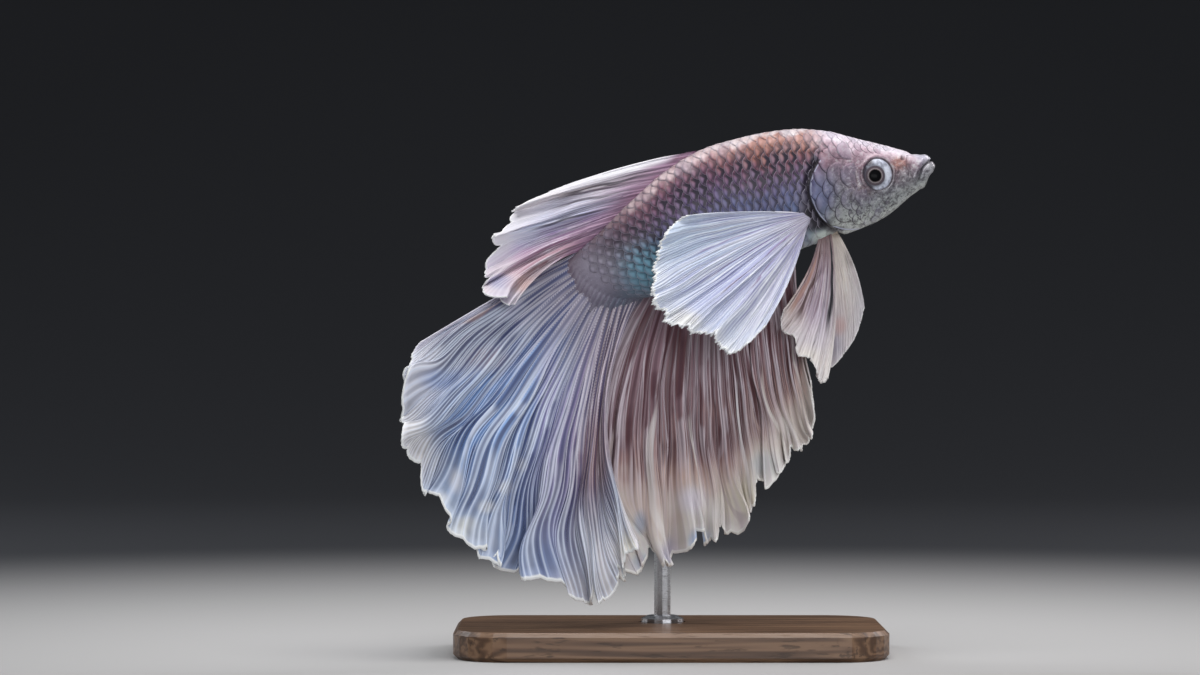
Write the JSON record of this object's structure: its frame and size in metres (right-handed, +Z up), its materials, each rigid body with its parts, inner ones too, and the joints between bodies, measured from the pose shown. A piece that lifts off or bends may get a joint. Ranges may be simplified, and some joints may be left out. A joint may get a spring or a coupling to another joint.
{
  "type": "betta fish model",
  "caption": "Life-size still model of a male halfmoon betta fish in an arched turn, on a wooden base with a steel rod.",
  "frame": {"origin": "middle of the stand's underside", "axes": "+Z up, +X towards the fish's nose, +Y towards the fish's left side"},
  "size_m": [0.074, 0.0364, 0.0732],
  "materials": {
    "skin": "moist scaled skin, mauve to pale blue",
    "eye": "silvery iris with a black pupil, wet gloss",
    "fin": "thin rayed membrane, mauve to cream",
    "pectoral_fin": "thin rayed membrane, bluish white",
    "ventral_fin": "thin membrane, cream and pink",
    "stand_wood": "satin oiled walnut",
    "stand_steel": "brushed"
  },
  "bodies": {
    "root": {"head": "skin", "lower_jaw": "skin", "gill_cover_left": "skin", "gill_cover_right": "skin", "trunk": "skin", "tail_stalk": "skin", "eye_left": "eye", "eye_right": "eye", "dorsal_fin": "fin", "caudal_fin": "fin", "anal_fin": "fin", "pectoral_fin_left": "pectoral_fin", "pectoral_fin_right": "pectoral_fin", "ventral_fin_left": "ventral_fin", "ventral_fin_right": "ventral_fin", "stand_base": "stand_wood", "stand_rod": "stand_steel"}
  },
  "joints": []
}
